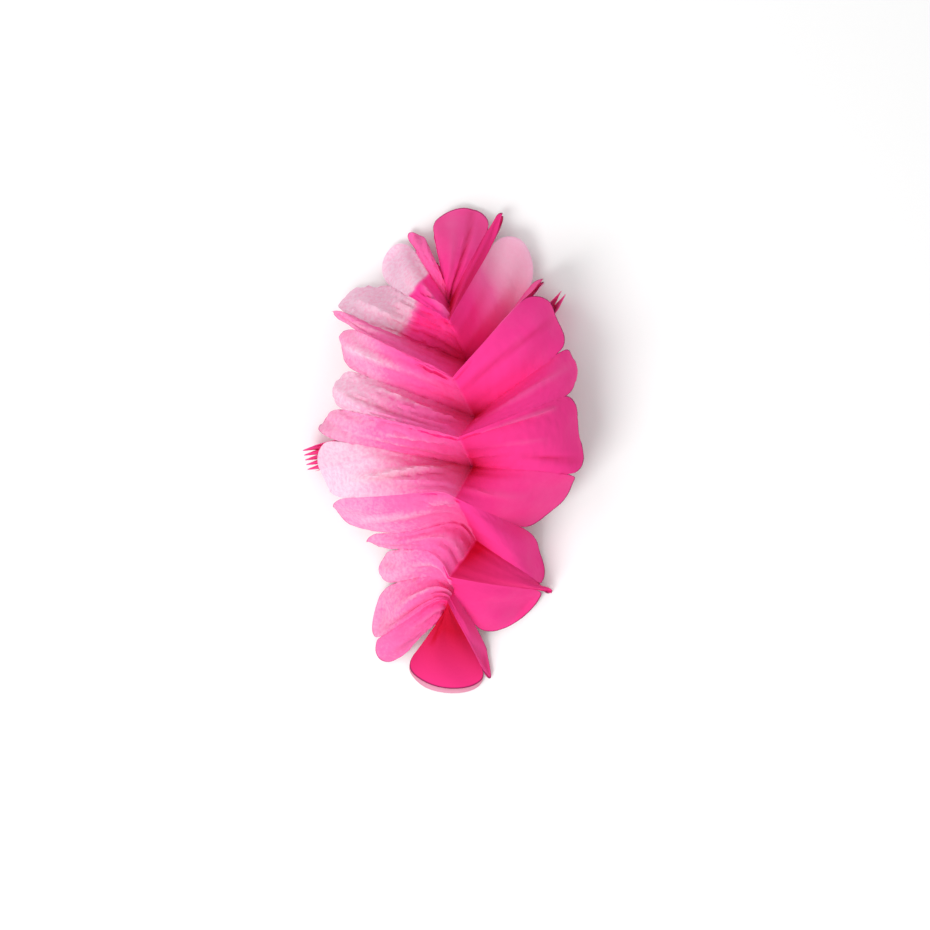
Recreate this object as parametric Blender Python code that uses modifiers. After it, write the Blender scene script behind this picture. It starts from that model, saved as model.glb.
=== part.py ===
"""Tissue paper pom pom, part-way opened: pleated sheets with round cut ends, tied at the waist.

The stack was folded like a fan, its two ends were cut round, and its middle was tied.
The top sheets are then pulled open on both sides of their middle line, the spine, and lie
over the sheets that are still folded. +Z is up, +Y runs along the spine, and the lowest
paper rests on Z = 0.
"""
import math
from collections import namedtuple

import bmesh
import bpy
import numpy as np
from mathutils import Vector

MM = 0.001

# Driving dimensions, in millimetres
OUTLINE_CENTRE_X = -8.19
OUTLINE_CENTRE_Y = -0.63
PLEAT_WIDTH = 43.0
HALF_LENGTH = 90.0
PLEATS = 13
SHEETS = 2
SHEET_WALL = 0.2
LAYERED_WALL = 0.4
SHEET_DROP = 2.8
SHEET_LEAN = 0.9
REST_HEIGHT = 0.35
REST_SOFTNESS = 3.0
CREASE_ANGLE = 28.0
PETAL_BULGE = 3.0
LAYERED_LEFT_SHARE = 0.5
WAIST_HEIGHT = 18.0
WAIST_ROOM = 0.3
WAIST_BEND = 0.35
STACK_PITCH = 1.0
STACK_OFFSET = 5.0
STACK_LEFT_AZIMUTH = 193.6
STACK_RIGHT_AZIMUTH = 54.7
STACK_LEFT_HEIGHT = 28.0
STACK_RIGHT_HEIGHT = 24.0
STACK_SPLAY = 0.05
STACK_TIP = 0.6
GROOVE_DEPTH = 4.0
GROOVE_SHORT = 7.0
GROOVE_AT_WAIST = 0.4
MERGE_DISTANCE = 0.01
WIRE_DIAMETER = 0.9
WIRE_CLEARANCE = 0.4
WIRE_SQUARENESS = 10.0
WIRE_TAIL = 22.0
WIRE_TAIL_START = 2.0
WIRE_TAIL_DROP = 8.0
WIRE_TWIST_PITCH = 5.5
WIRE_LOOP_POINTS = 25
WIRE_TAIL_POINTS = 20

# Both ends of the folded strip are cut to half circles, so a fold is shorter than a petal
SCALLOP = PLEAT_WIDTH / 2
NOTCH_LENGTH = HALF_LENGTH - SCALLOP

# Grid of one half panel, from spine to rim and across its width
ROWS = 8
COLUMNS = 4
PATH_STEPS = 60

# Sections of the folded sheets, from the waist to a tip, in shares of the half length
STACK_PLACES = (0.0, 0.12, 0.3, 0.5, NOTCH_LENGTH / HALF_LENGTH, 0.86, 0.94, 0.985, 1.0)

# A half fold leaves the spine at an azimuth. Its downward slope changes evenly from the spine
# to the notch, then to the tip. gather is the length that stays crumpled in at the spine.
Half = namedtuple("Half", "azimuth spine_slope notch_slope tip_slope gather")
Fold = namedtuple("Fold", "x y z right left")

# The fourteen fold lines of an opened sheet from its top end to its bottom end, ridges and
# valleys in turn: place on the spine in millimetres, then its right and left halves in degrees
OPEN_FOLDS = (
    Fold(-5, 86, 41, Half(102, 20, 56, 45, 29), Half(112, 30, 60, 85, 31)),
    Fold(-3, 76, 37, Half(64, 5, 45, 40, 17), Half(122, 20, 50, 50, 24)),
    Fold(-3, 66, 56, Half(62, 56, 24, 10, 9), Half(146, 32, 64, 40, 12)),
    Fold(7, 45, 37, Half(50, 40, 18, 5, 17), Half(158, -6, 22, 62, 0)),
    Fold(-1, 36, 64, Half(48, -15, 36, 60, 13), Half(153, 2, 50, 65, 4)),
    Fold(10, 16, 42, Half(37, -36, 33, 80, 10), Half(159, -26, 28, 80, 2)),
    Fold(2, 5, 68, Half(21, -22, 48, 85, 4), Half(166, -4, 38, 85, 4)),
    Fold(9, -10, 44, Half(356, -38, 44, 75, 14), Half(169, -14, 8, 58, 0)),
    Fold(0, -26, 64, Half(335, 32, 60, 55, 14), Half(181, 6, 40, 60, 6)),
    Fold(11, -49, 36, Half(326, -4, 62, 80, 18), Half(179, -28, 34, 38, 21)),
    Fold(-3, -68, 47, Half(349, 20, 52, 65, 9), Half(165, 22, 52, 62, 33)),
    Fold(-1, -76, 38, Half(301, 56, 40, 55, 37), Half(182, 35, 45, 75, 30)),
    Fold(-4, -81, 42, Half(296, 46, 34, 35, 15), Half(212, 20, 56, 62, 16)),
    Fold(-6, -88, 36, Half(236, 46, 28, 30, 32), Half(230, 44, 38, 35, 33)),
)

# The folded sheets are tied under the middle valley, where the opened sheets rest on the tie
MIDDLE_VALLEY = OPEN_FOLDS[5]
TIE_TOP = MIDDLE_VALLEY.z - (SHEETS - 1) * SHEET_DROP - LAYERED_WALL / 2 - WAIST_ROOM
WAIST_X = MIDDLE_VALLEY.x
WAIST_Y = MIDDLE_VALLEY.y - (SHEETS - 1) * SHEET_LEAN
WAIST_Z = TIE_TOP - WIRE_DIAMETER - WIRE_CLEARANCE - WAIST_HEIGHT / 2


def new_material(name, colour, roughness, metallic=0.0):
    """Return a Principled material of one colour."""
    material = bpy.data.materials.new(name)
    material.use_nodes = True
    shader = material.node_tree.nodes["Principled BSDF"]
    shader.inputs["Base Color"].default_value = (*colour, 1.0)
    shader.inputs["Roughness"].default_value = roughness
    shader.inputs["Metallic"].default_value = metallic
    return material


def half_path(fold, half):
    """Return a function from lengths to points on one half fold, and the fold's length.

    The path is worked out by adding up small steps whose slope changes evenly. It runs on to
    the tip of a petal, one scallop past the notch, so that rims can be read off it.
    """
    reach = NOTCH_LENGTH - half.gather
    lengths = np.linspace(0.0, reach + SCALLOP, PATH_STEPS)
    marks = (0.0, reach, reach + SCALLOP)
    slopes = np.interp(lengths, marks, (half.spine_slope, half.notch_slope, half.tip_slope))
    slopes = np.radians(slopes)
    step = lengths[1] - lengths[0]
    middle = (slopes[1:] + slopes[:-1]) / 2
    out = np.concatenate(([0.0], np.cumsum(np.cos(middle)) * step))
    down = np.concatenate(([0.0], np.cumsum(np.sin(middle)) * step))
    azimuth = math.radians(half.azimuth)

    def point(length):
        run = np.interp(length, lengths, out)
        x = fold.x + run * math.cos(azimuth)
        y = fold.y + run * math.sin(azimuth)
        z = fold.z - np.interp(length, lengths, down)
        return np.stack((x, y, z), axis=-1)

    return point, reach


def half_panels(folds, side, share=1.0):
    """Return the grid of one side of a sheet: rows from spine to rim, columns along the spine.

    Each panel is ruled between its two folds. Its length is the fold's, plus a half circle
    over the panel's width, which makes the petal. The panel swells upwards in its middle. A
    side drawn in to a share of its length keeps its place, and its rim lies further in.
    """
    across = (1 - np.cos(np.pi * np.arange(COLUMNS + 1) / COLUMNS)) / 2
    along = np.linspace(0.0, 1.0, ROWS + 1)[:, None]
    round_end = SCALLOP * np.sqrt(np.maximum(0.0, 1 - (2 * across - 1) ** 2))
    mix = across[None, :, None]
    strips = []
    for index in range(len(folds) - 1):
        path_a, reach_a = half_path(folds[index], getattr(folds[index], side))
        path_b, reach_b = half_path(folds[index + 1], getattr(folds[index + 1], side))
        length_a = along * (share * reach_a + round_end)
        length_b = along * (share * reach_b + round_end)
        panel = path_a(length_a) * (1 - mix) + path_b(length_b) * mix
        swell = np.sin(np.pi * np.minimum(1.0, length_a / (reach_a + SCALLOP)))
        panel[..., 2] += PETAL_BULGE * np.sin(np.pi * across) * swell
        strips.append(panel if index == 0 else panel[:, 1:])
    return np.concatenate(strips, axis=1)


def lay_on_table(points, lowest):
    """Bend what would sink below the lowest level smoothly, so that it lies along it."""
    height = points[..., 2] - lowest
    points[..., 2] = lowest + (height + np.sqrt(height ** 2 + REST_SOFTNESS ** 2)) / 2
    return points


def in_metres(place):
    """Return a place in millimetres as one in metres, counted from the outline's centre."""
    return Vector((place - np.array((OUTLINE_CENTRE_X, OUTLINE_CENTRE_Y, 0.0))) * MM)


def grid_object(name, points, material, collection):
    """Make a mesh grid through the points, and return its object."""
    rows, columns = points.shape[0], points.shape[1]
    shape = bmesh.new()
    bmesh.ops.create_grid(shape, x_segments=columns - 1, y_segments=rows - 1, size=1.0)
    shape.verts.ensure_lookup_table()
    for vert, place in zip(shape.verts, points.reshape(-1, 3)):
        vert.co = in_metres(place)
    mesh = bpy.data.meshes.new(name)
    shape.to_mesh(mesh)
    shape.free()
    mesh.shade_smooth()
    mesh.set_sharp_from_angle(angle=math.radians(CREASE_ANGLE))
    mesh.materials.append(material)
    obj = bpy.data.objects.new(name, mesh)
    collection.objects.link(obj)
    return obj


def add_wall(obj, thickness):
    """Give an open sheet its thickness, half to each side."""
    wall = obj.modifiers.new("Paper wall", "SOLIDIFY")
    wall.thickness = thickness * MM
    wall.offset = 0.0


def open_sheet(name, order, left_share, wall, material, collection):
    """Make opened paper, the given number of places below the top sheet.

    Each place lies inside the one above it: it is shifted down, and a little towards the
    bottom end, so that the steep pleats, which lean that way, stay clear of each other.
    """
    left = half_panels(OPEN_FOLDS, "left", left_share)
    right = half_panels(OPEN_FOLDS, "right")
    points = np.concatenate((left[::-1], right[1:]), axis=0)
    lowest = REST_HEIGHT + (SHEETS - 1) * SHEET_DROP
    points = lay_on_table(points, lowest)
    points = points - order * np.array((0.0, SHEET_LEAN, SHEET_DROP))
    obj = grid_object(name, points, material, collection)
    add_wall(obj, wall)
    return obj


def stack_ring(place):
    """Return one section of the folded sheets, for a place from -1, left tip, to 1, right tip.

    The section is a band of pleats on edge. Along its top and bottom, fold edges and the
    grooves between them take turns. Fold edges reach the full length, grooves stop short.
    Both halves lean over on their fold edges, so they stand lower than a pleat is wide.
    The tie sits off the stack's middle, so that the left half is the longer one.
    """
    reach = abs(place)
    side = 1.0 if place > 0 else -1.0
    ease = min(1.0, reach / WAIST_BEND)
    ease = ease * ease * (3 - 2 * ease)
    left_turn = STACK_LEFT_AZIMUTH - 90.0
    right_turn = STACK_RIGHT_AZIMUTH + 90.0
    turn = math.radians((left_turn + right_turn) / 2 + side * ease * (right_turn - left_turn) / 2)
    azimuth = math.radians(STACK_RIGHT_AZIMUTH if place > 0 else STACK_LEFT_AZIMUTH)
    arm = HALF_LENGTH - side * STACK_OFFSET
    length = reach * arm
    past_notch = max(0.0, length - arm + SCALLOP) / SCALLOP
    fan = min(1.0, length / (arm - SCALLOP))
    end_height = (STACK_RIGHT_HEIGHT if place > 0 else STACK_LEFT_HEIGHT) / 2
    edge = WAIST_HEIGHT / 2 * (1 - fan) + end_height * fan
    centre = WAIST_Z * (1 - fan) + end_height * fan
    edge = max(STACK_TIP, edge * math.sqrt(max(0.0, 1 - past_notch ** 2)))
    groove = max(STACK_TIP / 2, edge - GROOVE_DEPTH * (GROOVE_AT_WAIST + fan))
    columns = np.arange(2 * PLEATS + 1)
    is_edge = columns % 2 == 1
    across = (PLEATS - columns) * STACK_PITCH / 2 * (1 + STACK_SPLAY * fan)
    height = np.where(is_edge, edge, groove)
    run = length - np.where(is_edge, 0.0, GROOVE_SHORT * past_notch)
    x = WAIST_X + run * math.cos(azimuth) + across * math.cos(turn)
    y = WAIST_Y + run * math.sin(azimuth) + across * math.sin(turn)
    top = np.stack((x, y, centre + height), axis=-1)
    bottom = np.stack((x, y, centre - height), axis=-1)
    return np.concatenate((top, bottom[::-1], top[:1]), axis=0)


def folded_stack(material, collection):
    """Make the sheets that are still folded, pressed together into one pleated body."""
    places = [-place for place in reversed(STACK_PLACES[1:])] + list(STACK_PLACES)
    rings = np.stack([stack_ring(place) for place in places])
    obj = grid_object("folded_sheets", rings, material, collection)
    shape = bmesh.new()
    shape.from_mesh(obj.data)
    bmesh.ops.remove_doubles(shape, verts=shape.verts, dist=MERGE_DISTANCE * MM)
    bmesh.ops.holes_fill(shape, edges=shape.edges)
    bmesh.ops.triangulate(shape, faces=[face for face in shape.faces if len(face.verts) > 4])
    bmesh.ops.recalc_face_normals(shape, faces=shape.faces)
    shape.to_mesh(obj.data)
    shape.free()
    return obj


def tie_points():
    """Return the wire's path: one tail, once round the waist, and the other tail.

    The loop is a box with rounded corners round the folded waist, as a curve of high power.
    The two tails are a twisted pair, each strand a helix half a turn from the other.
    """
    room = WIRE_CLEARANCE + WIRE_DIAMETER / 2
    half_width = PLEATS / 2 * STACK_PITCH + room
    half_height = WAIST_HEIGHT / 2 + room
    strand = WIRE_DIAMETER / 2 + WIRE_CLEARANCE / 2
    angles = np.radians(np.linspace(-170.0, 170.0, WIRE_LOOP_POINTS))
    power = 2 / WIRE_SQUARENESS
    loop_across = np.sign(np.cos(angles)) * np.abs(np.cos(angles)) ** power * half_width
    loop_up = np.sign(np.sin(angles)) * np.abs(np.sin(angles)) ** power * half_height
    loop_along = np.linspace(-strand, strand, WIRE_LOOP_POINTS)
    loop = np.stack((loop_across, loop_along, loop_up), axis=-1)
    fall = np.linspace(0.0, 1.0, WIRE_TAIL_POINTS)
    turn = 2 * math.pi * fall * WIRE_TAIL / WIRE_TWIST_PITCH
    start = half_width + WIRE_TAIL_START
    middle = np.stack((-start - fall * WIRE_TAIL, 0 * fall, -WIRE_TAIL_DROP * fall), axis=-1)
    swing = np.stack((0 * turn, np.cos(turn), np.sin(turn)), axis=-1) * strand
    path = np.concatenate(((middle - swing)[::-1], loop, middle + swing), axis=0)
    turn = math.radians((STACK_LEFT_AZIMUTH + STACK_RIGHT_AZIMUTH) / 2)
    x = WAIST_X + path[:, 0] * math.cos(turn) + path[:, 1] * math.sin(turn)
    y = WAIST_Y + path[:, 0] * math.sin(turn) - path[:, 1] * math.cos(turn)
    return np.stack((x, y, WAIST_Z + path[:, 2]), axis=-1)


def tie_wire(material, collection):
    """Make the wire that ties the waist."""
    points = tie_points()
    curve = bpy.data.curves.new("tie_wire", "CURVE")
    curve.dimensions = "3D"
    curve.bevel_depth = WIRE_DIAMETER / 2 * MM
    curve.bevel_resolution = 2
    curve.use_fill_caps = True
    spline = curve.splines.new("POLY")
    spline.points.add(len(points) - 1)
    for knot, place in zip(spline.points, points):
        knot.co = (*in_metres(place), 1.0)
    curve.materials.append(material)
    obj = bpy.data.objects.new("tie_wire", curve)
    collection.objects.link(obj)
    return obj


def main():
    for obj in list(bpy.data.objects):
        bpy.data.objects.remove(obj)
    collection = bpy.data.collections.new("tissue_paper_pom_pom")
    bpy.context.scene.collection.children.link(collection)
    single = new_material("Single tissue", (0.90, 0.30, 0.55), 0.7)
    layered = new_material("Layered tissue", (0.87, 0.05, 0.30), 0.7)
    folded = new_material("Folded tissue", (0.62, 0.02, 0.12), 0.7)
    wire = new_material("Florist wire", (0.55, 0.54, 0.52), 0.35, 1.0)
    open_sheet("top_sheet", 0, 1.0, SHEET_WALL, single, collection)
    open_sheet("layered_sheets", 1, LAYERED_LEFT_SHARE, LAYERED_WALL, layered, collection)
    folded_stack(folded, collection)
    tie_wire(wire, collection)


main()
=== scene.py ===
"""Tissue paper pom pom, part-way opened: the visual model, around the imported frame.

The opened sheets are surfaces worked out from one table of fold lines. Their left half is a
single crumpled layer, their right half is smooth and layered. Under them lie the sheets that
are still folded, tied at the waist with twisted wire.
"""
import math
from collections import namedtuple

import bpy
import numpy as np
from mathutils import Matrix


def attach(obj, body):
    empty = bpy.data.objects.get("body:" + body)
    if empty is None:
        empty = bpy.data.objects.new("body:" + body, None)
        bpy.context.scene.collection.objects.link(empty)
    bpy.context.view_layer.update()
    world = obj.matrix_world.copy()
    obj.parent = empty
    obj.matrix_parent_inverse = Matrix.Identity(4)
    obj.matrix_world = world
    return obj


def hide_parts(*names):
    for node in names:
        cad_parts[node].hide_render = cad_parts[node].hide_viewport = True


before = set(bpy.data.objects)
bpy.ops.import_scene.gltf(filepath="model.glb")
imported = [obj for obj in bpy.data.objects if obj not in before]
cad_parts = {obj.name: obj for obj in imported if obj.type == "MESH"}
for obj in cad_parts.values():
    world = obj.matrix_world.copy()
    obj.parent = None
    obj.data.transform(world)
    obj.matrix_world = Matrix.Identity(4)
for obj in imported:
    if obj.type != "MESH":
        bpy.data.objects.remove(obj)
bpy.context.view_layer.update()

bl_info = {
    "name": "Tissue Paper Pom Pom",
    "version": (1, 0, 0),
    "blender": (4, 5, 0),
    "location": "View3D > Sidebar > Pom Pom",
    "description": "Builds a pleated tissue paper pom pom, part-way opened, around its frame",
    "category": "Object",
}

MM = 0.001

# Sizes of the fold, in millimetres, as in the solids
PLEAT_WIDTH = 43.0
HALF_LENGTH = 90.0
PLEATS = 13
SCALLOP = PLEAT_WIDTH / 2
NOTCH_LENGTH = HALF_LENGTH - SCALLOP
REST_HEIGHT = 0.35
REST_SOFTNESS = 3.0
LAYER_DROP = 2.8
LAYER_LEAN = 0.9
OUTLINE_CENTRE = np.array((-8.19, -0.63, 0.0))

# The lowest layer lies the drop below the top sheet and the lean towards the bottom end. The gap
# is the part of the drop that is measured square to the paper, and the highest layer lies at a
# share of them all. On the left, layers reach a share of the way to the notch, each a step less
LAYER_GAP = 1.4
HIGHEST_LAYER = 0.7
LAYER_TRIM = 0.4
LEFT_SHARE = 0.5
LEFT_SHARE_STEP = 0.04
# How far the crumples stay above the lowest level of their sheet
REST_GAP = 0.1

# Faces of an opened sheet: rows along each half, columns across each petal, points of a fold's
# path, and a power below 1 that brings the rows closer together at the rim
ROWS = 76
COLUMNS = 24
PATH_STEPS = 160
ROW_SPREAD = 0.9

# The folded sheets, in millimetres and degrees: their waist under the opened sheets and the wire,
# the pitch of the pleats, the grooves, both ends' directions and sizes, and their pointed teeth
WAIST_HEIGHT = 18.0
WAIST_ROOM = 0.3
WAIST_BEND = 0.35
LAYERED_WALL = 0.4
WIRE_DIAMETER = 0.9
WIRE_CLEARANCE = 0.4
STACK_PITCH = 1.0
STACK_TIP = 0.4
GROOVE_DEPTH = 4.0
GROOVE_AT_WAIST = 0.4
STACK_OFFSET = 5.0
STACK_LEFT_AZIMUTH = 193.6
STACK_RIGHT_AZIMUTH = 54.7
STACK_LEFT_HEIGHT = 28.0
STACK_RIGHT_HEIGHT = 24.0
STACK_LEFT_SPLAY = 0.05
STACK_RIGHT_SPLAY = -0.55
TOOTH_LENGTH = 9.0
LEFT_TEETH = 5.2
RIGHT_TEETH = 2.0
# Where their sections lie, as shares of the way from the waist to a tip
BODY_END = 0.72
BODY_SECTIONS = 37
TIP_START = 0.76
TIP_SECTIONS = 14

# A half fold: azimuth, slopes at the spine, notch and tip in degrees, and the length gathered
# in at the spine. A fold: its place on the spine, then its right and left halves.
Half = namedtuple("Half", "azimuth spine_slope notch_slope tip_slope gather")
Fold = namedtuple("Fold", "x y z right left")
OPEN_FOLDS = (
    Fold(-5, 86, 41, Half(102, 20, 56, 45, 29), Half(112, 30, 60, 85, 31)),
    Fold(-3, 76, 37, Half(64, 5, 45, 40, 17), Half(122, 20, 50, 50, 24)),
    Fold(-3, 66, 56, Half(62, 56, 24, 10, 9), Half(146, 32, 64, 40, 12)),
    Fold(7, 45, 37, Half(50, 40, 18, 5, 17), Half(158, -6, 22, 62, 0)),
    Fold(-1, 36, 64, Half(48, -15, 36, 60, 13), Half(153, 2, 50, 65, 4)),
    Fold(10, 16, 42, Half(37, -36, 33, 80, 10), Half(159, -26, 28, 80, 2)),
    Fold(2, 5, 68, Half(21, -22, 48, 85, 4), Half(166, -4, 38, 85, 4)),
    Fold(9, -10, 44, Half(356, -38, 44, 75, 14), Half(169, -14, 8, 58, 0)),
    Fold(0, -26, 64, Half(335, 32, 60, 55, 14), Half(181, 6, 40, 60, 6)),
    Fold(11, -49, 36, Half(326, -4, 62, 80, 18), Half(179, -28, 34, 38, 21)),
    Fold(-3, -68, 47, Half(349, 20, 52, 65, 9), Half(165, 22, 52, 62, 33)),
    Fold(-1, -76, 38, Half(301, 56, 40, 55, 37), Half(182, 35, 45, 75, 30)),
    Fold(-4, -81, 42, Half(296, 46, 34, 35, 15), Half(212, 20, 56, 62, 16)),
    Fold(-6, -88, 36, Half(236, 46, 28, 30, 32), Half(230, 44, 38, 35, 33)),
)

# The folded sheets are tied under the middle valley, where the opened sheets rest on the tie
TIED_VALLEY = 5
MIDDLE_VALLEY = OPEN_FOLDS[TIED_VALLEY]
TIE_TOP = MIDDLE_VALLEY.z - LAYER_DROP - LAYERED_WALL / 2 - WAIST_ROOM
WAIST_Z = TIE_TOP - WIRE_DIAMETER - WIRE_CLEARANCE - WAIST_HEIGHT / 2
WAIST = np.array((MIDDLE_VALLEY.x, MIDDLE_VALLEY.y - LAYER_LEAN, WAIST_Z))

# Where the halves meet they dip, valleys more than ridges, but hardly where they rest on the tie
CREASE_WIDTH = 4.5
TIED_DIP = 0.3
VALLEY_DIP = 1.8
# How far each fold of the left half bows towards the top end, most of all 12 mm out
BOWS = (0, 0, 0, 0, 0, 0, 0, 0, 3, 10, 10, 8, 4, 0)
BOW_OUT = 12.0
# How far a petal domes upwards in its middle
PETAL_BULGE = 3.0

# What each petal shows, from the top end to the bottom end: how many layers at its spine end
# and at its rim, from 0 for one to 1 for many, how deep it lies in shade, how crumpled it is
Tone = namedtuple("Tone", "spine rim shade rough")
TONES = {
    "right": (
        # The right half's third petal fades to a pale rim: partly fewer layers, partly a painted sheen
        Tone(1.0, 0.78, 0.10, 0.3), Tone(1.0, 0.95, 0.38, 0.2), Tone(0.95, 0.12, 0.0, 0.2),
        Tone(0.95, 0.65, 0.05, 0.2), Tone(0.95, 0.90, 0.0, 0.3), Tone(1.0, 0.88, 0.08, 0.5),
        Tone(1.0, 0.92, 0.12, 0.7), Tone(0.95, 0.85, 0.18, 0.3), Tone(0.98, 0.88, 0.08, 0.3),
        Tone(1.0, 1.0, 0.42, 0.3), Tone(1.0, 0.88, 0.14, 0.3), Tone(1.0, 0.8, 0.25, 0.3),
        Tone(1.0, 1.0, 0.85, 0.3)),
    "left": (
        Tone(0.85, 0.60, 0.0, 0.6), Tone(0.95, 0.02, 0.0, 0.5), Tone(0.90, 0.05, 0.08, 1.6),
        Tone(0.90, 0.38, 0.10, 0.8), Tone(0.80, 0.32, 0.0, 0.8), Tone(0.80, 0.08, 0.0, 1.1),
        Tone(0.80, 0.28, 0.0, 1.2), Tone(0.62, 0.0, 0.0, 0.5), Tone(0.75, 0.34, 0.0, 0.6),
        Tone(0.85, 0.38, 0.03, 0.8), Tone(0.8, 0.30, 0.0, 0.9), Tone(0.85, 0.34, 0.03, 0.9),
        Tone(0.95, 0.50, 0.12, 0.8)),
}

# Where the layers underneath end: the share of a petal's length, and how soft that end is
LAYER_ENDS = {("left", 1): (0.52, 0.04), ("left", 2): (0.42, 0.10), ("left", 4): (0.50, 0.50),
              # The right half's third petal: where its painted sheen, drawn as fewer layers, sets in
              ("right", 2): (0.60, 0.56)}
SOFT_END = (0.45, 0.90)

# Shade of a petal: its strength at the spine, how fast it fades outwards and what stays at the
# rim. Shade of a pleat: strength in each half, where it is deepest, its reach and its sharpness
SHADE_AT_SPINE = 1.9
SHADE_FADE = 1.5
SHADE_AT_RIM = 0.3
PLEAT_SHADE = {"right": 1.0, "left": 0.6}
PLEAT_STRENGTH = 1.1
PLEAT_DEEPEST = 6.0
PLEAT_REACH = 17.0
PLEAT_SHARPNESS = 1.6
# Painted shade in the grooves of creases, painted highlight on their crests drawn as fewer layers, and
# from which height a crest gets it in full
GROOVE_SHADE = 0.35
CREST_HIGHLIGHT = 0.35
FULL_CREST = 3.0
# How clearly the fibres of a single layer show in each half, and everywhere at least
FIBRES = {"left": 1.0, "right": 0.12}
LEAST_FIBRES = 0.06

# Crumples: seed, number of waves, the shortest and longest between creases, and their sway.
# They start smoothly over some millimetres from the tie
CRUMPLE_SEED = 7
CRUMPLE_WAVES = 16
CRUMPLE_SHORTEST = 2.5
CRUMPLE_LONGEST = 11.0
CRUMPLE_SWAY = (2.3, 1.7)
SMOOTH_AT_TIE = 13.0
# Gathers: widths of the three rows of ridges, their sway, where they stand highest and their reach
GATHER_WIDTHS = (5.3, 8.9, 14.3)
GATHER_SWAY = 2.2
GATHER_SWAY_OUT = 15.0
GATHER_SWAY_STEP = 5.0
GATHER_SWAY_ACROSS = 31.0
GATHER_HIGHEST = 14.0
GATHER_REACH = 42.0

# The lowest layer's last petal is a single sheet that peeks out a little below the others. That
# layer's rim is pale over some millimetres, as a single layer is
PEEK = 3.5
PALE_RIM = 10.8
PEEKING_LAYERS = 0.12

# Lamps: name, place and size in metres, and power in watts
LAMPS = (("key lamp", (-0.55, -0.6, 0.95), 0.7, 8.6), ("fill lamp", (-0.8, 0.7, 1.3), 1.0, 3.0))
WORLD_LIGHT = 0.68
CAMERA_ABOVE = (0.01365, -0.00865)
TABLE_HALF = 3.0

# Single creases: where they run across their petal at its spine end and rim, from and to how
# many millimetres out, how high they stand, negative for a groove, and how wide they are. They
# fade in and out with this power of a sine
CREASE_FADE = 0.6
Crease = namedtuple("Crease", "side panel at_spine at_rim start stop height width")
CREASES = (
    Crease("right", 0, 0.90, 0.60, 6, 95, -2.4, 0.09),
    Crease("right", 0, 0.50, 0.30, 30, 90, 1.0, 0.16),
    Crease("right", 2, 0.75, 0.60, 10, 70, 0.8, 0.20),
    Crease("right", 4, 0.40, 0.55, 12, 85, -0.5, 0.08),
    Crease("right", 5, 0.55, 0.40, 8, 80, 1.4, 0.14),
    Crease("right", 6, 0.06, 0.12, 14, 66, 2.6, 0.06),
    Crease("right", 6, 0.45, 0.52, 12, 58, 1.3, 0.10),
    Crease("right", 6, 0.78, 0.84, 40, 82, -1.2, 0.06),
    Crease("right", 7, 0.70, 0.50, 10, 60, 0.8, 0.12),
    Crease("right", 12, 0.60, 0.80, 8, 60, -0.9, 0.08),
    Crease("left", 1, 0.80, 0.45, 12, 46, 3.0, 0.16),
    Crease("left", 1, 0.55, 0.70, 22, 44, -2.0, 0.08),
    Crease("left", 2, 0.70, 0.62, 30, 84, 1.6, 0.12),
    Crease("left", 3, 0.40, 0.55, 30, 80, 1.4, 0.20),
    Crease("left", 4, 0.42, 0.55, 14, 86, 2.6, 0.16),
    Crease("left", 5, 0.35, 0.20, 8, 60, 2.2, 0.09),
    Crease("left", 5, 0.75, 0.62, 10, 74, -2.0, 0.10),
    Crease("left", 6, 0.30, 0.55, 10, 50, 2.4, 0.10),
    Crease("left", 6, 0.80, 0.70, 6, 66, 1.8, 0.08),
    Crease("left", 7, 0.10, 0.92, 6, 84, 2.4, 0.12),
    Crease("left", 7, 0.30, 0.70, 10, 60, -1.2, 0.07),
    Crease("left", 8, 0.10, 0.30, 7, 30, 5.0, 0.10),
    Crease("left", 8, 0.26, 0.44, 10, 34, 3.0, 0.06),
    Crease("left", 8, 0.55, 0.62, 14, 80, 2.0, 0.14),
    Crease("left", 9, 0.45, 0.50, 10, 60, 1.8, 0.14),
    Crease("left", 10, 0.45, 0.55, 12, 62, 1.8, 0.10),
    Crease("left", 11, 0.35, 0.50, 14, 66, 2.2, 0.12),
    Crease("left", 11, 0.70, 0.80, 20, 72, -1.6, 0.08),
    Crease("left", 12, 0.50, 0.45, 12, 60, 1.8, 0.12),
)


def linear(hex_colour):
    """Turn an sRGB hex colour into linear red, green, blue and alpha."""
    value = hex_colour.lstrip("#")
    parts = [int(value[i:i + 2], 16) / 255 for i in (0, 2, 4)]
    lights = [c / 12.92 if c <= 0.04045 else ((c + 0.055) / 1.055) ** 2.4 for c in parts]
    return tuple(lights) + (1.0,)


class PomPomSheets(bpy.types.PropertyGroup):
    """Sizes of the paper's relief"""
    wrinkle: bpy.props.FloatProperty(
        name="Crumple height", description="Height of the crumples in the single layer",
        default=0.0011, min=0.0, unit="LENGTH")
    gather: bpy.props.FloatProperty(
        name="Gather height", description="Height of the small gathers that run out from the tie",
        default=0.0013, min=0.0, unit="LENGTH")
    flutter: bpy.props.FloatProperty(
        name="Rim flutter", description="How far the petals' rims wave up and down",
        default=0.0012, min=0.0, unit="LENGTH")
    crease_depth: bpy.props.FloatProperty(
        name="Spine crease depth", description="How deep the halves dip where they meet",
        default=0.004, min=0.0, unit="LENGTH")
    layers: bpy.props.IntProperty(
        name="Layers", description="Sheets opened together under the top one",
        default=2, min=2, max=5)


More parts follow.
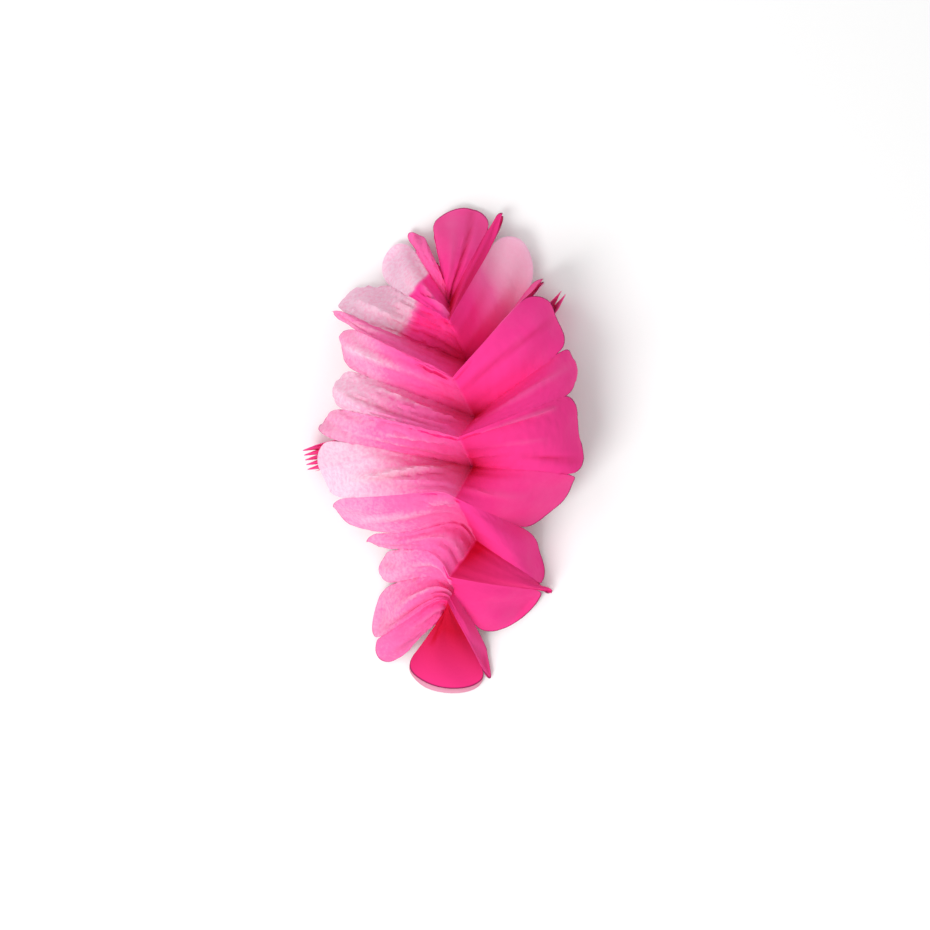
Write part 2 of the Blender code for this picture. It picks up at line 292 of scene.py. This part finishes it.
class PomPomColours(bpy.types.PropertyGroup):
    """Colours of the dyed tissue, by how many layers the eye sees"""
    pale: bpy.props.FloatVectorProperty(
        name="Single layer", description="Tissue seen as one layer over white",
        subtype="COLOR", size=4, default=linear("#FFD9EE"), min=0.0, max=1.0)
    middle: bpy.props.FloatVectorProperty(
        name="Two layers", description="Tissue over another layer",
        subtype="COLOR", size=4, default=linear("#FF76B8"), min=0.0, max=1.0)
    full: bpy.props.FloatVectorProperty(
        name="Many layers", description="Tissue seen as a stack of layers",
        subtype="COLOR", size=4, default=linear("#FF3C98"), min=0.0, max=1.0)
    # Painted shade: the crimson that the depth attribute mixes in for pleats, petals and crease grooves
    deep: bpy.props.FloatVectorProperty(
        name="Deep in a pleat", description="Tissue lit only through its neighbours",
        subtype="COLOR", size=4, default=linear("#C4002E"), min=0.0, max=1.0)
    edge: bpy.props.FloatVectorProperty(
        name="Cut edge", description="The cut edges of the stacked layers",
        subtype="COLOR", size=4, default=linear("#86184F"), min=0.0, max=1.0)


class PomPomStage(bpy.types.PropertyGroup):
    """Where the camera hangs and how much it takes in"""
    camera_height: bpy.props.FloatProperty(
        name="Camera height", description="Height of the camera above the table",
        default=1.15, min=0.3, unit="LENGTH")
    field: bpy.props.FloatProperty(
        name="Field", description="Width of table that the picture takes in",
        default=0.5078, min=0.1, unit="LENGTH")


def half_path(index, side, crease):
    """Return a function from lengths to points on one half fold, and the length to its notch.

    The slope changes evenly from spine to notch and from notch to tip, and the path is the
    running sum of its cosine outwards and its sine downwards. At the spine it dips by crease
    times the exponential of minus length over the crease's width. In plan it bows by its bow
    times the run over the bow's place, times the exponential of one minus that.
    """
    fold = OPEN_FOLDS[index]
    half = getattr(fold, side)
    reach = NOTCH_LENGTH - half.gather
    lengths = np.linspace(0.0, reach + SCALLOP + PEEK, PATH_STEPS)
    marks = (0.0, reach, reach + SCALLOP)
    marked = (half.spine_slope, half.notch_slope, half.tip_slope)
    slopes = np.radians(np.interp(lengths, marks, marked))
    step = lengths[1] - lengths[0]
    middle = (slopes[1:] + slopes[:-1]) / 2
    out = np.concatenate(([0.0], np.cumsum(np.cos(middle)) * step))
    down = np.concatenate(([0.0], np.cumsum(np.sin(middle)) * step))
    azimuth = math.radians(half.azimuth)
    dip = crease * (TIED_DIP if index == TIED_VALLEY else VALLEY_DIP if index % 2 else 1.0)
    bow = BOWS[index] if side == "left" else 0.0

    def point(length):
        run = np.interp(length, lengths, out)
        x = fold.x + run * math.cos(azimuth)
        y = fold.y + run * math.sin(azimuth) + bow * run / BOW_OUT * np.exp(1 - run / BOW_OUT)
        z = fold.z - np.interp(length, lengths, down) - dip * np.exp(-length / CREASE_WIDTH)
        return np.stack((x, y, z), axis=-1)

    return point, reach


def half_panels(side, share, trim, peek, crease):
    """Return points, paper coordinates and rim distances of one side of a sheet.

    Each panel is ruled between its two folds, to the fold's length plus a half circle over
    the panel's width. The paper coordinates are millimetres from the spine and along it. The
    last petal can peek out by some millimetres, most of all in its middle.
    """
    across = (1 - np.cos(np.pi * np.arange(COLUMNS + 1) / COLUMNS)) / 2
    along = np.linspace(0.0, 1.0, ROWS + 1)[:, None] ** ROW_SPREAD
    round_end = SCALLOP * np.sqrt(np.maximum(0.0, 1 - (2 * across - 1) ** 2))
    mix = across[None, :, None]
    strips, papers, rims = [], [], []
    for index in range(PLEATS):
        path_a, reach_a = half_path(index, side, crease)
        path_b, reach_b = half_path(index + 1, side, crease)
        longer = peek * round_end / SCALLOP if index == PLEATS - 1 else 0.0
        full_a = share * reach_a + round_end - trim + longer
        full_b = share * reach_b + round_end - trim + longer
        length_a, length_b = along * full_a, along * full_b
        panel = path_a(length_a) * (1 - mix) + path_b(length_b) * mix
        swell = np.sin(np.pi * np.minimum(1.0, length_a / (reach_a + SCALLOP)))
        panel[..., 2] += PETAL_BULGE * np.sin(np.pi * across) * swell
        gather = getattr(OPEN_FOLDS[index], side).gather * (1 - across) \
            + getattr(OPEN_FOLDS[index + 1], side).gather * across
        out = length_a * (1 - across) + length_b * across
        paper = np.stack((out + gather, (index + across) * PLEAT_WIDTH + 0 * out), axis=-1)
        rim = (1 - along) * (full_a * (1 - across) + full_b * across)
        cut = slice(None) if index == 0 else slice(1, None)
        strips.append(panel[:, cut])
        papers.append(paper[:, cut])
        rims.append(rim[:, cut])
    return np.concatenate(strips, 1), np.concatenate(papers, 1), np.concatenate(rims, 1)


def petal_tones(side, out):
    """Return layers, shade and roughness of one side's points, petal by petal.

    Layers run from their value at the spine to that at the rim along a smooth step, where
    the layers underneath end. Shade fades evenly outwards to what stays at the rim, and
    roughness is even over a petal.
    """
    panel = np.minimum(np.maximum(np.arange(out.shape[1]) - 1, 0) // COLUMNS, PLEATS - 1)
    table = np.array(TONES[side])[panel]
    middle, width = np.array([LAYER_ENDS.get((side, index), SOFT_END) for index in panel]).T
    share = out / HALF_LENGTH
    step = np.clip((share - middle) / width + 0.5, 0.0, 1.0)
    step = step * step * (3 - 2 * step)
    layers = table[:, 0] * (1 - step) + table[:, 1] * step
    shade = table[:, 2] * np.maximum(SHADE_AT_SPINE - SHADE_FADE * share, SHADE_AT_RIM)
    return layers, shade, table[:, 3] + 0 * out


def crease_lift(side, out, place):
    """Return how far single creases lift the paper, and the weights of their grooves and crests from 0
    to 1, which carry painted shade and painted highlight.

    Each is a tent across the petal, as high as its height where it runs, that fades in and
    out along its length with a power of a sine. The place counts petals from the top end.
    """
    lift, groove, crest = np.zeros((3,) + out.shape)
    for crease in CREASES:
        if crease.side != side:
            continue
        along = np.clip((out - crease.start) / (crease.stop - crease.start), 0.0, 1.0)
        line = crease.panel + crease.at_spine * (1 - along) + crease.at_rim * along
        tent = np.clip(1 - np.abs(place - line) / crease.width, 0.0, 1.0)
        profile = tent * np.sin(np.pi * along) ** CREASE_FADE
        lift += crease.height * profile
        if crease.height < 0:
            groove += profile
        else:
            crest += profile * min(1.0, crease.height / FULL_CREST)
    return lift, groove, crest


def gathers(out, across_paper):
    """Return the height, from -1 to 1, of small gathers that run out from the tie.

    Three rows of ridges, each one minus twice the absolute sine over the paper's width, sway
    a little on their way out and fade after some centimetres, as a bell curve does.
    """
    total = np.zeros(out.shape)
    for order, width in enumerate(GATHER_WIDTHS):
        turn = out / (GATHER_SWAY_OUT + GATHER_SWAY_STEP * order) + across_paper / GATHER_SWAY_ACROSS
        sway = GATHER_SWAY * np.sin(turn + order)
        total += width * (1 - 2 * np.abs(np.sin(np.pi * (across_paper + sway) / width)))
    return total / sum(GATHER_WIDTHS) * np.exp(-((out - GATHER_HIGHEST) / GATHER_REACH) ** 2)


def rim_flutter(out, across_paper):
    """Return the waves of the petals' rims, which grow with the square of the way out.

    A long wave is a sine across the paper times a cosine outwards, and a short one, which
    stands less high, is a sine that runs slantwise.
    """
    long_across, long_out, long_start = 9.0, 17.0, 2.0
    short_across, short_out, short_start, short_height = 4.3, 11.0, 1.0, 0.6
    long_wave = np.sin(across_paper / long_across) * np.cos(out / long_out + long_start)
    short_wave = np.sin(across_paper / short_across + short_start + out / short_out)
    return (long_wave + short_height * short_wave) * np.clip(out / NOTCH_LENGTH, 0, 1) ** 2


def lay_on_table(points, lowest):
    """Bend what would sink below the lowest level smoothly, so that it lies along it."""
    height = points[..., 2] - lowest
    points[..., 2] = lowest + (height + np.sqrt(height ** 2 + REST_SOFTNESS ** 2)) / 2
    return points


def grid_normals(points):
    """Return unit normals of a grid of points: the cross product of its two slopes.

    All of them point to the same side of the sheet, the one that faces up over most of it.
    """
    down = np.gradient(points, axis=0)
    right = np.gradient(points, axis=1)
    normal = np.cross(right, down)
    normal /= np.maximum(np.linalg.norm(normal, axis=-1, keepdims=True), 1e-9)
    return normal * np.sign(normal[..., 2].mean())


def crumple(paper):
    """Return crumple heights from -1 to 1: a sum of plane waves with sharp crests.

    Each wave is one minus twice the absolute sine of a phase that runs in its own direction,
    so its crests are creases. Longer waves stand higher.
    """
    draw = np.random.default_rng(CRUMPLE_SEED)
    out, across_paper = paper[..., 0], paper[..., 1]
    total = np.zeros(out.shape)
    weight = 0.0
    for _ in range(CRUMPLE_WAVES):
        length = CRUMPLE_SHORTEST * (CRUMPLE_LONGEST / CRUMPLE_SHORTEST) ** draw.random()
        angle = draw.random() * 2 * math.pi
        bend = draw.random() * 2 * math.pi
        phase = (out * math.cos(angle) + across_paper * math.sin(angle)) * math.pi / length
        sway = np.sin(out / (CRUMPLE_SWAY[0] * length) + bend) \
            + np.sin(across_paper / (CRUMPLE_SWAY[1] * length) + 2 * bend)
        total += length * (1 - 2 * np.abs(np.sin(phase + sway + bend)))
        weight += length
    return total / weight


def paper_grid(name, points, attributes):
    """Make a smooth mesh grid through points in millimetres, with point attributes."""
    rows, columns = points.shape[:2]
    index = np.arange(rows * columns).reshape(rows, columns)
    corners = (index[:-1, :-1], index[:-1, 1:], index[1:, 1:], index[1:, :-1])
    quads = np.stack(corners, -1).reshape(-1, 4)
    mesh = bpy.data.meshes.new(name)
    mesh.vertices.add(rows * columns)
    mesh.vertices.foreach_set("co", ((points.reshape(-1, 3) - OUTLINE_CENTRE) * MM).ravel())
    mesh.loops.add(quads.size)
    mesh.polygons.add(len(quads))
    mesh.loops.foreach_set("vertex_index", quads.ravel())
    mesh.polygons.foreach_set("loop_start", np.arange(0, quads.size, 4))
    mesh.update(calc_edges=True)
    mesh.validate()
    for label, values in attributes.items():
        mesh.attributes.new(label, "FLOAT", "POINT").data.foreach_set("value", values.ravel())
    mesh.shade_smooth()
    mesh.set_sharp_from_angle(angle=math.radians(40))
    piece = bpy.data.objects.new(name, mesh)
    bpy.context.scene.collection.objects.link(piece)
    return piece


def add_node(tree, kind, place=(0, 0), inputs=None, **settings):
    """Add a shader node: settings are its properties, inputs its values or links by name."""
    node = tree.nodes.new(kind)
    node.location = place
    for key, value in settings.items():
        setattr(node, key, value)
    for key, value in (inputs or {}).items():
        if isinstance(value, bpy.types.NodeSocket):
            tree.links.new(value, node.inputs[key])
        else:
            node.inputs[key].default_value = value
    return node


def ramp_stops(node, stops):
    """Set a colour ramp's stops from places and colours."""
    ramp = node.color_ramp
    while len(ramp.elements) > 1:
        ramp.elements.remove(ramp.elements[-1])
    for order, (place, colour) in enumerate(stops):
        element = ramp.elements[0] if order == 0 else ramp.elements.new(place)
        element.position = place
        element.color = colour


def tissue_material(name, alpha, light_through):
    """Dyed tissue paper, machine-made: very thin, matt, with light coming through it.

    The eye sees one layer as pale pink with darker clumps of fibre, stacked layers as strong
    pink, and the insides of the pleats as crimson, because light reaches them only through
    their neighbours: this is painted shade, the deep colour mixed in by the depth attribute.
    Alpha and light_through hold for one layer, and many let hardly any light through.
    """
    colours = bpy.context.scene.pompom_colours
    material = bpy.data.materials.new(name)
    material.use_nodes = True
    tree = material.node_tree
    tree.nodes.clear()
    layers = add_node(tree, "ShaderNodeAttribute", (-1500, 200), attribute_name="layers")
    depth = add_node(tree, "ShaderNodeAttribute", (-1500, 0), attribute_name="depth")
    rim = add_node(tree, "ShaderNodeAttribute", (-1500, -200), attribute_name="rim_mm")
    where = add_node(tree, "ShaderNodeTexCoord", (-1900, 400))
    # Fibres clump in tissue about every 2 mm, and dye takes unevenly over about 12 mm
    clump = add_node(tree, "ShaderNodeTexNoise", (-1700, 500), {
        "Vector": where.outputs["Object"], "Scale": 520.0, "Detail": 3.0, "Roughness": 0.6})
    dye = add_node(tree, "ShaderNodeTexNoise", (-1700, 700), {
        "Vector": where.outputs["Object"], "Scale": 80.0, "Detail": 2.0})
    thin = add_node(tree, "ShaderNodeAttribute", (-1300, 400), attribute_name="fibres")
    specks = add_node(tree, "ShaderNodeMapRange", (-1300, 600), {
        "Value": clump.outputs["Fac"], "From Min": 0.35, "From Max": 0.7,
        "To Min": -0.06, "To Max": 0.16})
    speckled = add_node(tree, "ShaderNodeMath", (-1100, 500), {
        0: specks.outputs[0], 1: thin.outputs["Fac"]}, operation="MULTIPLY")
    uneven = add_node(tree, "ShaderNodeMapRange", (-1300, 800), {
        "Value": dye.outputs["Fac"], "To Min": -0.06, "To Max": 0.06})
    toned = add_node(tree, "ShaderNodeMath", (-900, 400), {
        0: layers.outputs["Fac"], 1: speckled.outputs[0]}, operation="ADD")
    shown = add_node(tree, "ShaderNodeMath", (-750, 400), {
        0: toned.outputs[0], 1: uneven.outputs[0]}, operation="ADD")
    stack = add_node(tree, "ShaderNodeValToRGB", (-600, 300), {"Fac": shown.outputs[0]})
    ramp_stops(stack, ((0.0, colours.pale), (0.5, colours.middle), (0.92, colours.full)))
    # Painted shade: the depth attribute mixes the crimson deep colour in
    inside = add_node(tree, "ShaderNodeMix", (-300, 200), {
        "Factor": depth.outputs["Fac"], 6: stack.outputs["Color"], 7: tuple(colours.deep)},
        data_type="RGBA")
    line = add_node(tree, "ShaderNodeMapRange", (-600, -200), {
        "Value": rim.outputs["Fac"], "From Min": 0.5, "From Max": 1.3,
        "To Min": 0.95, "To Max": 0.0})
    stacked_line = add_node(tree, "ShaderNodeMath", (-400, -200), {
        0: line.outputs[0], 1: layers.outputs["Fac"]}, operation="MULTIPLY")
    edged = add_node(tree, "ShaderNodeMix", (-100, 200), {
        "Factor": stacked_line.outputs[0], 6: inside.outputs[2], 7: tuple(colours.edge)},
        data_type="RGBA")
    bump = add_node(tree, "ShaderNodeBump", (-100, -300), {
        "Height": clump.outputs["Fac"], "Strength": 0.12, "Distance": 0.0003})
    cover = add_node(tree, "ShaderNodeMapRange", (-100, 500), {
        "Value": layers.outputs["Fac"], "From Max": 0.8, "To Min": alpha, "To Max": 1.0})
    passing = add_node(tree, "ShaderNodeMapRange", (200, 500), {
        "Value": layers.outputs["Fac"], "To Min": light_through, "To Max": 0.05})
    paper = add_node(tree, "ShaderNodeBsdfPrincipled", (150, 200), {
        "Base Color": edged.outputs[2], "Roughness": 0.8, "IOR": 1.45, "Specular IOR Level": 0.15,
        "Alpha": cover.outputs[0], "Normal": bump.outputs["Normal"]})
    through = add_node(tree, "ShaderNodeBsdfTranslucent", (150, -300), {
        "Color": edged.outputs[2], "Normal": bump.outputs["Normal"]})
    both = add_node(tree, "ShaderNodeMixShader", (450, 0), {
        0: passing.outputs[0], 1: paper.outputs[0], 2: through.outputs[0]})
    add_node(tree, "ShaderNodeOutputMaterial", (650, 0), {"Surface": both.outputs[0]})
    return material


def wire_material():
    """Galvanised florist wire, drawn and twisted: dull grey metal with fine draw marks."""
    material = bpy.data.materials.new("Galvanised drawn wire")
    material.use_nodes = True
    tree = material.node_tree
    tree.nodes.clear()
    where = add_node(tree, "ShaderNodeTexCoord", (-800, 0))
    marks = add_node(tree, "ShaderNodeTexNoise", (-600, 0), {
        "Vector": where.outputs["Object"], "Scale": 900.0, "Detail": 4.0})
    tone = add_node(tree, "ShaderNodeValToRGB", (-350, 0), {"Fac": marks.outputs["Fac"]})
    ramp_stops(tone, ((0.3, linear("#8E8D8A")), (0.7, linear("#B9B8B4"))))
    metal = add_node(tree, "ShaderNodeBsdfPrincipled", (0, 0), {
        "Base Color": tone.outputs["Color"], "Metallic": 1.0, "Roughness": 0.42})
    add_node(tree, "ShaderNodeOutputMaterial", (300, 0), {"Surface": metal.outputs[0]})
    return material


def pleat_painted_shade(out, across_paper):
    """Return the painted shade of each point, from how deep it lies in its pleat: near the spine,
    between two ridges.

    It is a power of the way from ridge to valley, times a bell curve over the way out.
    """
    valley = 1 - np.abs(((across_paper / PLEAT_WIDTH) % 2) - 1)
    near = np.exp(-((np.abs(out) - PLEAT_DEEPEST) / PLEAT_REACH) ** 2)
    return valley ** PLEAT_SHARPNESS * near * PLEAT_STRENGTH


def paper_side(side, share, trim, peek, order):
    """Return points and attributes of one side of a sheet, with its creases and crumples.

    A sheet underneath has only half the height of each crest and lies order times the layers'
    gap behind the top sheet's underside, so that it stays under where the paper hangs over.
    """
    sheets = bpy.context.scene.pompom_sheets
    points, paper, rim = half_panels(side, share, trim, peek, sheets.crease_depth / MM)
    points = lay_on_table(points, REST_HEIGHT + LAYER_DROP)
    out, across_paper = paper[..., 0], paper[..., 1]
    layers, shade, rough = petal_tones(side, out)
    lift, groove, crest = crease_lift(side, out, across_paper / PLEAT_WIDTH)
    # Painted highlight: crests of creases are drawn as fewer layers, so paler
    layers = np.clip(layers - CREST_HIGHLIGHT * crest, 0.0, 1.0)
    start = np.clip(out / SMOOTH_AT_TIE, 0.0, 1.0)
    lift += rim_flutter(out, across_paper) * sheets.flutter / MM
    lift += crumple(paper) * rough * start * sheets.wrinkle / MM
    lift += gathers(out, across_paper) * rough * start * sheets.gather / MM
    if order > 0:
        lift = np.minimum(lift, lift / 2) - LAYER_GAP * order
        layers = np.where((rim < PALE_RIM) & (peek > 0), PEEKING_LAYERS, 1.0)
    # Painted shade: pleats near the spine, each petal's own shade and the grooves of creases, kept in
    # the depth attribute
    depth = pleat_painted_shade(out, across_paper) * PLEAT_SHADE[side] + shade + GROOVE_SHADE * groove
    points = points + grid_normals(points) * lift[..., None]
    points[..., 2] = np.maximum(points[..., 2], REST_HEIGHT + LAYER_DROP + REST_GAP)
    fibres = (1 - layers) * FIBRES[side] + LEAST_FIBRES
    depth = np.clip(depth, 0.0, 1.0)
    return points, {"layers": layers, "depth": depth, "rim_mm": rim, "fibres": fibres}


def opened_sheet(name, order=0.0, left_share=1.0, trim=0.0, peek=0.0):
    """Make one opened sheet as one grid from rim to rim.

    Order is 0 for the top sheet and 1 for the lowest layer. The left half reaches out by its
    share, trim shortens the petals and peek lengthens the right half's last one.
    """
    left, left_values = paper_side("left", left_share, trim, 0.0, order)
    right, right_values = paper_side("right", 1.0, trim, peek, order)
    points = np.concatenate((left[::-1], right[1:]), axis=0)
    points = points - np.array((0.0, LAYER_LEAN, LAYER_DROP - LAYER_GAP)) * order
    values = {key: np.concatenate((left_values[key][::-1], right_values[key][1:]), axis=0)
              for key in left_values}
    return paper_grid(name, points, values)


def stack_section(place):
    """Return one section of the folded sheets, for a place from -1, left tip, to 1, right tip.

    The section is a band of pleats on edge: along its top and bottom, fold edges and the
    grooves between them take turns. Its half height changes evenly from the waist's to the
    end's, and past the notch falls like a quarter circle. Near the waist the section turns
    smoothly from one end's direction to the other's. The pleats' ends cling together in
    pointed teeth, a zigzag of their lengths.
    """
    reach = abs(place)
    side = 1.0 if place > 0 else -1.0
    ease = min(1.0, reach / WAIST_BEND)
    ease = ease * ease * (3 - 2 * ease)
    left_turn, right_turn = STACK_LEFT_AZIMUTH - 90.0, STACK_RIGHT_AZIMUTH + 90.0
    turn = math.radians((left_turn + right_turn) / 2 + side * ease * (right_turn - left_turn) / 2)
    azimuth = math.radians(STACK_RIGHT_AZIMUTH if place > 0 else STACK_LEFT_AZIMUTH)
    arm = HALF_LENGTH - side * STACK_OFFSET
    length = reach * arm
    past_notch = max(0.0, length - arm + SCALLOP) / SCALLOP
    fan = min(1.0, length / (arm - SCALLOP))
    end_height = (STACK_RIGHT_HEIGHT if place > 0 else STACK_LEFT_HEIGHT) / 2
    edge = WAIST_HEIGHT / 2 * (1 - fan) + end_height * fan
    centre = WAIST[2] * (1 - fan) + end_height * fan
    edge = max(STACK_TIP, edge * math.sqrt(max(0.0, 1 - past_notch ** 2)))
    groove = max(STACK_TIP / 2, edge - GROOVE_DEPTH * (GROOVE_AT_WAIST + fan) * (1 - past_notch))
    columns = np.arange(2 * PLEATS + 1)
    is_edge = columns % 2 == 1
    splay = STACK_RIGHT_SPLAY if place > 0 else STACK_LEFT_SPLAY
    across = (PLEATS - columns) * STACK_PITCH / 2 * (1 + splay * fan)
    height = np.where(is_edge, edge, groove)
    teeth = RIGHT_TEETH if place > 0 else LEFT_TEETH
    zigzag = np.abs((columns / (2 * PLEATS) * teeth) % 1 * 2 - 1)
    run = length - TOOTH_LENGTH * zigzag * past_notch
    x = WAIST[0] + run * math.cos(azimuth) + across * math.cos(turn)
    y = WAIST[1] + run * math.sin(azimuth) + across * math.sin(turn)
    top = np.stack((x, y, centre + height), axis=-1)
    bottom = np.stack((x, y, centre - height), axis=-1)
    return np.concatenate((top, bottom[::-1], top[:1]), axis=0)


def rigged(piece, node, material):
    """Let a piece ride on the frame, stand for its node and take its material."""
    piece.data.materials.append(material)
    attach(piece, "root")
    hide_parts(node)
    return piece


class POMPOM_OT_top_sheet(bpy.types.Operator):
    """Make the top sheet, whose left half is a single crumpled layer"""
    bl_idname = "pompom.top_sheet"
    bl_label = "Top Sheet"

    def execute(self, context):
        material = tissue_material("Dyed tissue, single layer", 0.9, 0.22)
        rigged(opened_sheet("top_tissue"), "top_sheet", material)
        return {"FINISHED"}


class POMPOM_OT_layers(bpy.types.Operator):
    """Make the sheets that are opened together with the top one"""
    bl_idname = "pompom.layers"
    bl_label = "Layered Sheets"

    def execute(self, context):
        material = tissue_material("Dyed tissue, stacked layers", 1.0, 0.05)
        count = context.scene.pompom_sheets.layers
        for order in range(1, count + 1):
            share = LEFT_SHARE - LEFT_SHARE_STEP * order
            place = HIGHEST_LAYER + (1 - HIGHEST_LAYER) * (order - 1) / (count - 1)
            peek = PEEK if order == count else 0.0
            piece = opened_sheet(f"layer_tissue_{order}", place, share, LAYER_TRIM * order, peek)
            rigged(piece, "layered_sheets", material)
        return {"FINISHED"}


class POMPOM_OT_folded(bpy.types.Operator):
    """Make the sheets that are still folded, a pleated stack on edge"""
    bl_idname = "pompom.folded"
    bl_label = "Folded Sheets"

    def execute(self, context):
        tip = np.linspace(TIP_START, 1, TIP_SECTIONS)
        places = np.concatenate((-tip[::-1], np.linspace(-BODY_END, BODY_END, BODY_SECTIONS), tip))
        rings = np.stack([stack_section(place) for place in places])
        # Both ends close flat, at half their height
        tips = rings[[0, -1]] * 1.0
        tips[..., 2] = tips[..., 2].mean(axis=1, keepdims=True)
        rings = np.concatenate((tips[:1], rings, tips[1:]))
        even = np.ones(rings.shape[:2])
        looks = {"layers": 0.8 * even, "depth": 0 * even, "rim_mm": 9 * even, "fibres": 0 * even}
        piece = paper_grid("folded_tissue", rings, looks)
        material = tissue_material("Dyed tissue, pressed pleats", 1.0, 0.4)
        rigged(piece, "folded_sheets", material)
        return {"FINISHED"}


class POMPOM_OT_tie(bpy.types.Operator):
    """Give the tie wire its metal"""
    bl_idname = "pompom.tie"
    bl_label = "Tie Wire"

    def execute(self, context):
        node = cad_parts["tie_wire"]
        metal = wire_material()
        for slot in node.material_slots:
            slot.material = metal
        return {"FINISHED"}


class POMPOM_OT_stage(bpy.types.Operator):
    """Set the table, the lamps and the camera that looks straight down"""
    bl_idname = "pompom.stage"
    bl_label = "Stage"

    def execute(self, context):
        scene = context.scene
        scene.view_settings.view_transform = "Standard"
        self.lay_table(scene)
        self.light(scene)
        self.hang_camera(scene)
        return {"FINISHED"}

    def lay_table(self, scene):
        """Lay a flat square table top, lacquered white and matt, at height zero"""
        mesh = bpy.data.meshes.new("table")
        corners = [(x * TABLE_HALF, y * TABLE_HALF, 0) for x, y in ((-1, -1), (1, -1), (1, 1), (-1, 1))]
        mesh.from_pydata(corners, [], [(0, 1, 2, 3)])
        table = bpy.data.objects.new("table", mesh)
        scene.collection.objects.link(table)
        material = bpy.data.materials.new("White table top, matt lacquer")
        material.use_nodes = True
        tree = material.node_tree
        tree.nodes.clear()
        top = add_node(tree, "ShaderNodeBsdfPrincipled", (0, 0), {
            "Base Color": linear("#FFFFFF"), "Roughness": 0.7})
        add_node(tree, "ShaderNodeOutputMaterial", (300, 0), {"Surface": top.outputs[0]})
        mesh.materials.append(material)

    def light(self, scene):
        """Light the pom pom plainly: an even white world and two round lamps aimed at it"""
        world = bpy.data.worlds.new("Studio")
        world.use_nodes = True
        background = world.node_tree.nodes["Background"]
        background.inputs["Color"].default_value = linear("#FFFFFF")
        background.inputs["Strength"].default_value = WORLD_LIGHT
        scene.world = world
        for name, place, size, power in LAMPS:
            light = bpy.data.lights.new(name, "AREA")
            light.shape = "DISK"
            light.size = size
            light.energy = power
            lamp = bpy.data.objects.new(name, light)
            lamp.location = place
            aim = -np.array(place) / np.linalg.norm(place)
            lamp.rotation_euler = (math.acos(-aim[2]), 0.0, math.atan2(aim[1], aim[0]) - math.pi / 2)
            scene.collection.objects.link(lamp)

    def hang_camera(self, scene):
        """Hang the camera above the table, looking straight down"""
        stage = scene.pompom_stage
        camera_data = bpy.data.cameras.new("overhead camera")
        camera_data.sensor_width = 36.0
        camera_data.lens = camera_data.sensor_width * stage.camera_height / stage.field
        camera_data.clip_end = 10.0
        camera = bpy.data.objects.new("overhead camera", camera_data)
        camera.location = CAMERA_ABOVE + (stage.camera_height,)
        scene.collection.objects.link(camera)
        scene.camera = camera


class POMPOM_PT_panel(bpy.types.Panel):
    """List the pom pom's sizes, colours and stage, and the buttons that make its pieces"""
    bl_idname = "POMPOM_PT_panel"
    bl_label = "Tissue Pom Pom"
    bl_space_type = "VIEW_3D"
    bl_region_type = "UI"
    bl_category = "Pom Pom"

    def draw(self, context):
        layout = self.layout
        scene = context.scene
        for group in (scene.pompom_sheets, scene.pompom_colours, scene.pompom_stage):
            for key in group.__annotations__:
                layout.prop(group, key)
        for operator in OPERATORS:
            layout.operator(operator.bl_idname)


GROUPS = (PomPomSheets, PomPomColours, PomPomStage)
OPERATORS = (
    POMPOM_OT_stage, POMPOM_OT_top_sheet, POMPOM_OT_layers, POMPOM_OT_folded, POMPOM_OT_tie)


def register():
    """Register the classes and hang their settings on the scene."""
    for item in GROUPS + OPERATORS + (POMPOM_PT_panel,):
        bpy.utils.register_class(item)
    bpy.types.Scene.pompom_sheets = bpy.props.PointerProperty(type=PomPomSheets)
    bpy.types.Scene.pompom_colours = bpy.props.PointerProperty(type=PomPomColours)
    bpy.types.Scene.pompom_stage = bpy.props.PointerProperty(type=PomPomStage)


def unregister():
    """Take away what register added."""
    del bpy.types.Scene.pompom_stage
    del bpy.types.Scene.pompom_colours
    del bpy.types.Scene.pompom_sheets
    for item in (POMPOM_PT_panel,) + OPERATORS[::-1] + GROUPS[::-1]:
        bpy.utils.unregister_class(item)


def main():
    """Make the stage and the pieces."""
    register()
    bpy.ops.pompom.stage()
    bpy.ops.pompom.top_sheet()
    bpy.ops.pompom.layers()
    bpy.ops.pompom.folded()
    bpy.ops.pompom.tie()


if __name__ == "__main__":
    main()
